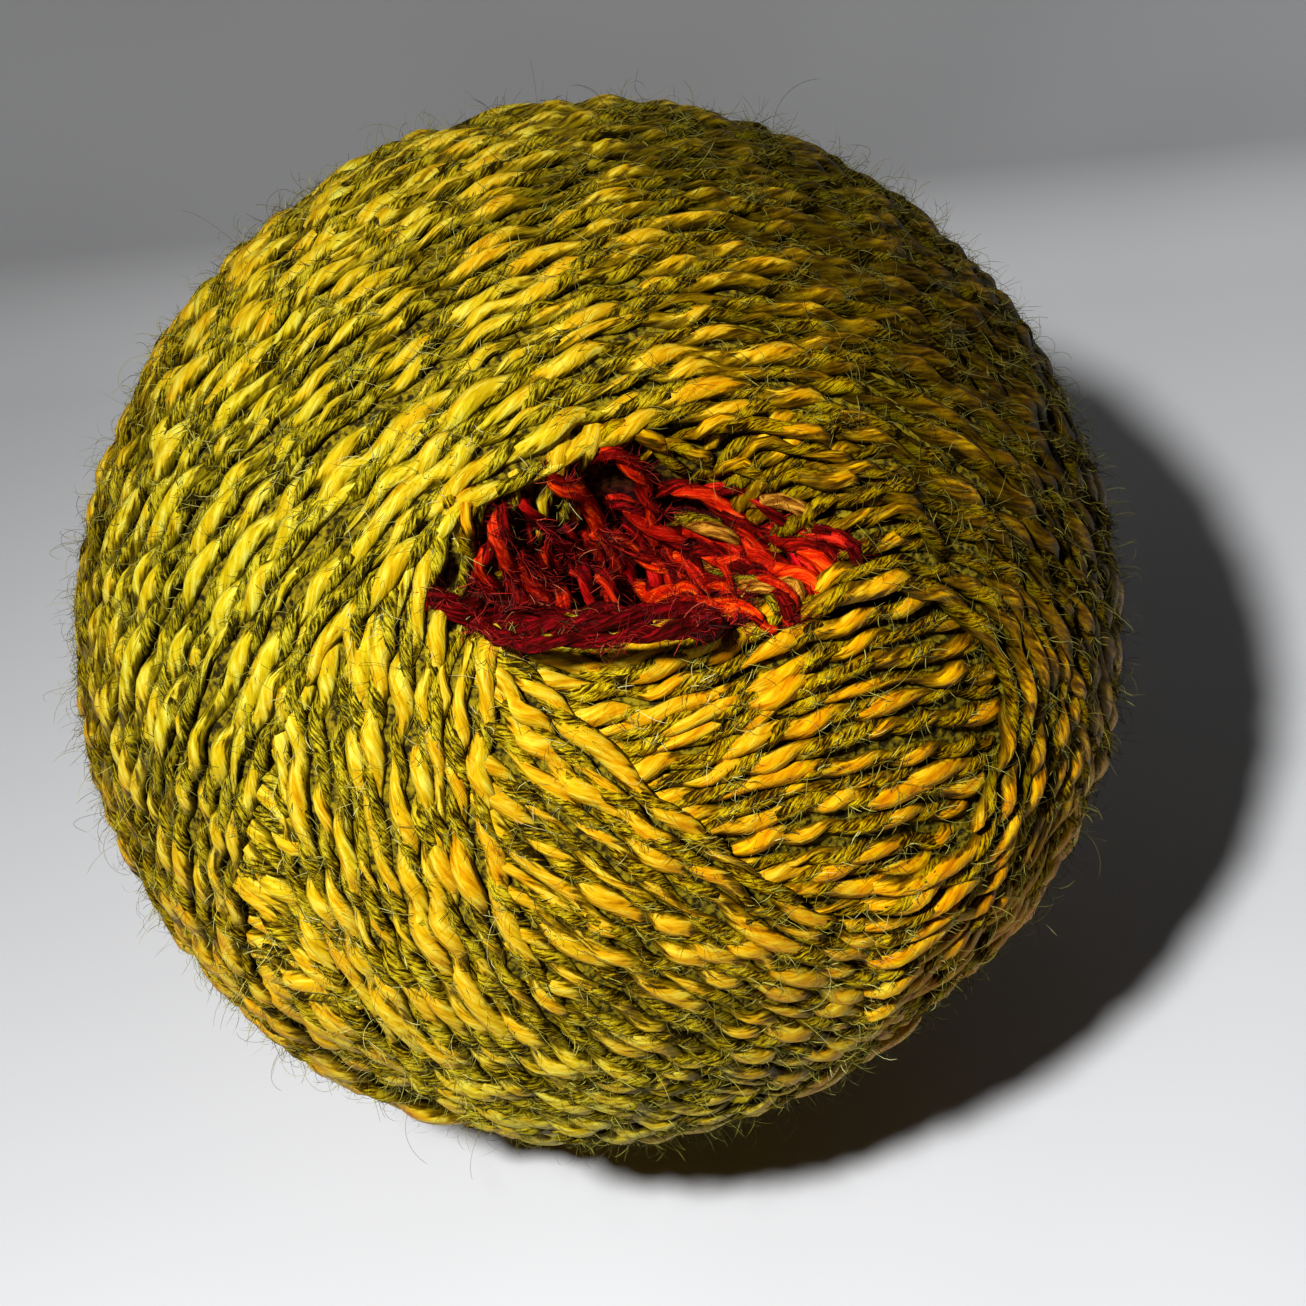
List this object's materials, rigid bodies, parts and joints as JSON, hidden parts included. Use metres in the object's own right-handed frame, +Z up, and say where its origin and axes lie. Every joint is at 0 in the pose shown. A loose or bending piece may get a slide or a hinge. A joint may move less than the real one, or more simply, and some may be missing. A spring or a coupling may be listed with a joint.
{
  "type": "wound ball of yarn",
  "caption": "Centre-pull ball of marled yarn, slightly squat, with bands of crossing turns, a collapsed centre hollow and a small flat spot to rest on.",
  "frame": {"origin": "on the resting plane, under the middle of the ball", "axes": "+Z up from the flat spot; +X along the long way of the hollow; the hollow faces up and towards -Y"},
  "size_m": [0.0954, 0.0914, 0.0879],
  "materials": {
    "yarn": "matte, fuzzy, marled yellow and dark olive, red in the hollow"
  },
  "bodies": {
    "root": {"wound_ball": "yarn"}
  },
  "joints": []
}
